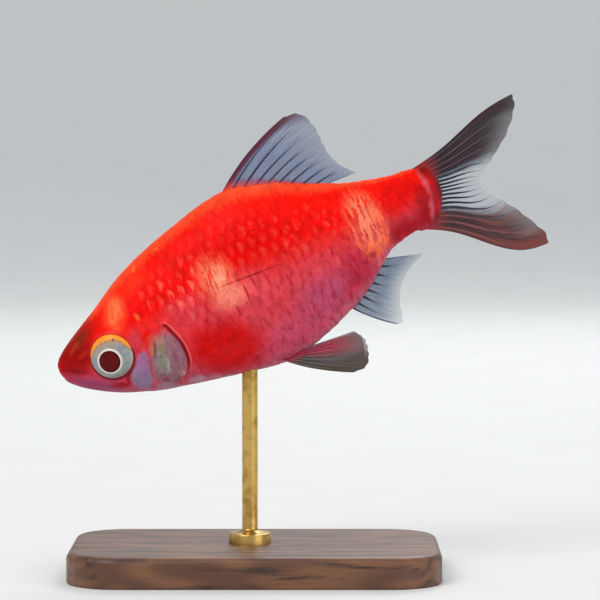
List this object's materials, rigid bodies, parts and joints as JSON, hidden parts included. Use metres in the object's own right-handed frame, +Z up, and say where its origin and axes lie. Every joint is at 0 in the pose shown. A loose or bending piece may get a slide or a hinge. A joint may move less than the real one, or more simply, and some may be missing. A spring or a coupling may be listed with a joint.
{
  "type": "tiger barb",
  "caption": "Life-size still model of a red tiger barb, a small deep-bodied aquarium fish swimming head down, held over a flat base by a short rod.",
  "frame": {"origin": "centre of the stand's flat underside", "axes": "+X towards the fish's tail, along the longest extent; +Z up, out of the stand's base; the fish's left flank faces -Y"},
  "size_m": [0.056, 0.026, 0.0547],
  "materials": {
    "skin_red": "satin",
    "skin_lilac": "satin",
    "eye": "polished",
    "fin_smoke": "satin",
    "fin_clear": "satin",
    "stand_wood": "satin",
    "stand_metal": "satin"
  },
  "bodies": {
    "root": {"head": "skin_red", "lower_jaw": "skin_lilac", "gill_cover_left": "skin_lilac", "gill_cover_right": "skin_lilac", "eye_left": "eye", "eye_right": "eye", "torso": "skin_red", "tail": "skin_red", "dorsal_fin": "fin_smoke", "anal_fin": "fin_smoke", "caudal_fin_upper": "fin_smoke", "caudal_fin_lower": "fin_smoke", "pelvic_fin_left": "fin_smoke", "pelvic_fin_right": "fin_smoke", "pectoral_fin_left": "fin_clear", "pectoral_fin_right": "fin_clear", "stand_base": "stand_wood", "stand_rod": "stand_metal"}
  },
  "joints": []
}
